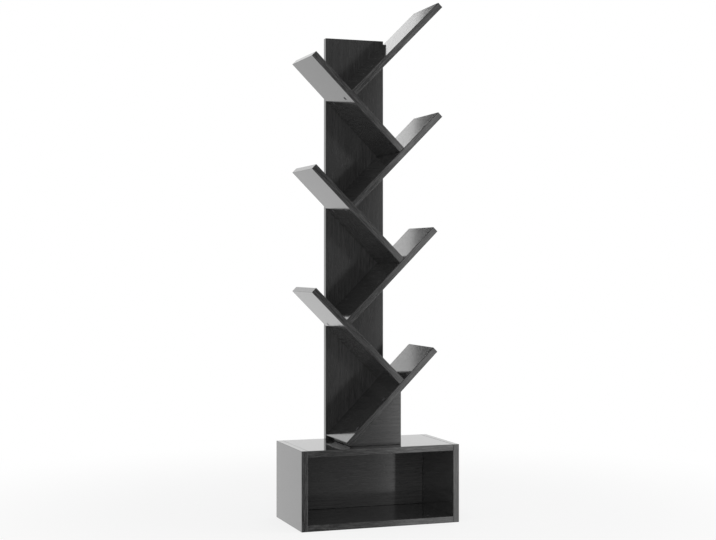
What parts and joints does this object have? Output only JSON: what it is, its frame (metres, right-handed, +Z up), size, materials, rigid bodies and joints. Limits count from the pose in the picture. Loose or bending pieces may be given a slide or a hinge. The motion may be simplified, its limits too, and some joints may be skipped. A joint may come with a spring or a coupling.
{
  "type": "tree shaped bookshelf",
  "caption": "Narrow free-standing tree bookshelf: branches leaning both ways from a flat spine on an open box, holding books on edge and small things.",
  "frame": {"origin": "middle of the box's underside, at floor level", "axes": "+Z up, +Y towards the back, the wall side, +X to the right as seen from the front"},
  "size_m": [0.418, 0.222, 1.3232],
  "materials": {
    "black_laminate": "black woodgrain laminate on board, satin to gloss, with a fine embossed grain",
    "black_steel": "black plated steel",
    "zinc": "dull cast zinc",
    "beech": "plain fluted beech"
  },
  "bodies": {
    "root": {"back_dowel_left_lower": "beech", "back_dowel_left_upper": "beech", "back_dowel_right_lower": "beech", "back_dowel_right_upper": "beech", "base_back": "black_laminate", "base_bottom": "black_laminate", "base_left_side": "black_laminate", "base_right_side": "black_laminate", "base_top": "black_laminate", "brace_board": "black_laminate", "brace_foot_screw_left": "black_steel", "brace_foot_screw_right": "black_steel", "brace_screw_lower": "black_steel", "brace_screw_upper": "black_steel", "cam_bolt_bottom_left_back": "zinc", "cam_bolt_bottom_left_front": "zinc", "cam_bolt_bottom_right_back": "zinc", "cam_bolt_bottom_right_front": "zinc", "cam_bolt_top_left_back": "zinc", "cam_bolt_top_left_front": "zinc", "cam_bolt_top_right_back": "zinc", "cam_bolt_top_right_front": "zinc", "cam_disc_bottom_left_back": "zinc", "cam_disc_bottom_left_front": "zinc", "cam_disc_bottom_right_back": "zinc", "cam_disc_bottom_right_front": "zinc", "cam_disc_top_left_back": "zinc", "cam_disc_top_left_front": "zinc", "cam_disc_top_right_back": "zinc", "cam_disc_top_right_front": "zinc", "joint_1_back_screw": "black_steel", "joint_1_front_screw": "black_steel", "joint_2_back_screw": "black_steel", "joint_2_front_screw": "black_steel", "joint_3_back_screw": "black_steel", "joint_3_front_screw": "black_steel", "joint_4_back_screw": "black_steel", "joint_4_front_screw": "black_steel", "joint_5_back_screw": "black_steel", "joint_5_front_screw": "black_steel", "joint_6_back_screw": "black_steel", "joint_6_front_screw": "black_steel", "left_branch_1": "black_laminate", "left_branch_2": "black_laminate", "left_branch_3": "black_laminate", "right_branch_1": "black_laminate", "right_branch_2": "black_laminate", "right_branch_3": "black_laminate", "right_branch_4": "black_laminate", "spine_board": "black_laminate", "spine_foot_screw_left": "black_steel", "spine_foot_screw_right": "black_steel", "spine_screw_1": "black_steel", "spine_screw_2": "black_steel", "spine_screw_3": "black_steel", "spine_screw_4": "black_steel", "spine_screw_5": "black_steel", "spine_screw_6": "black_steel", "spine_screw_7": "black_steel"}
  },
  "joints": []
}
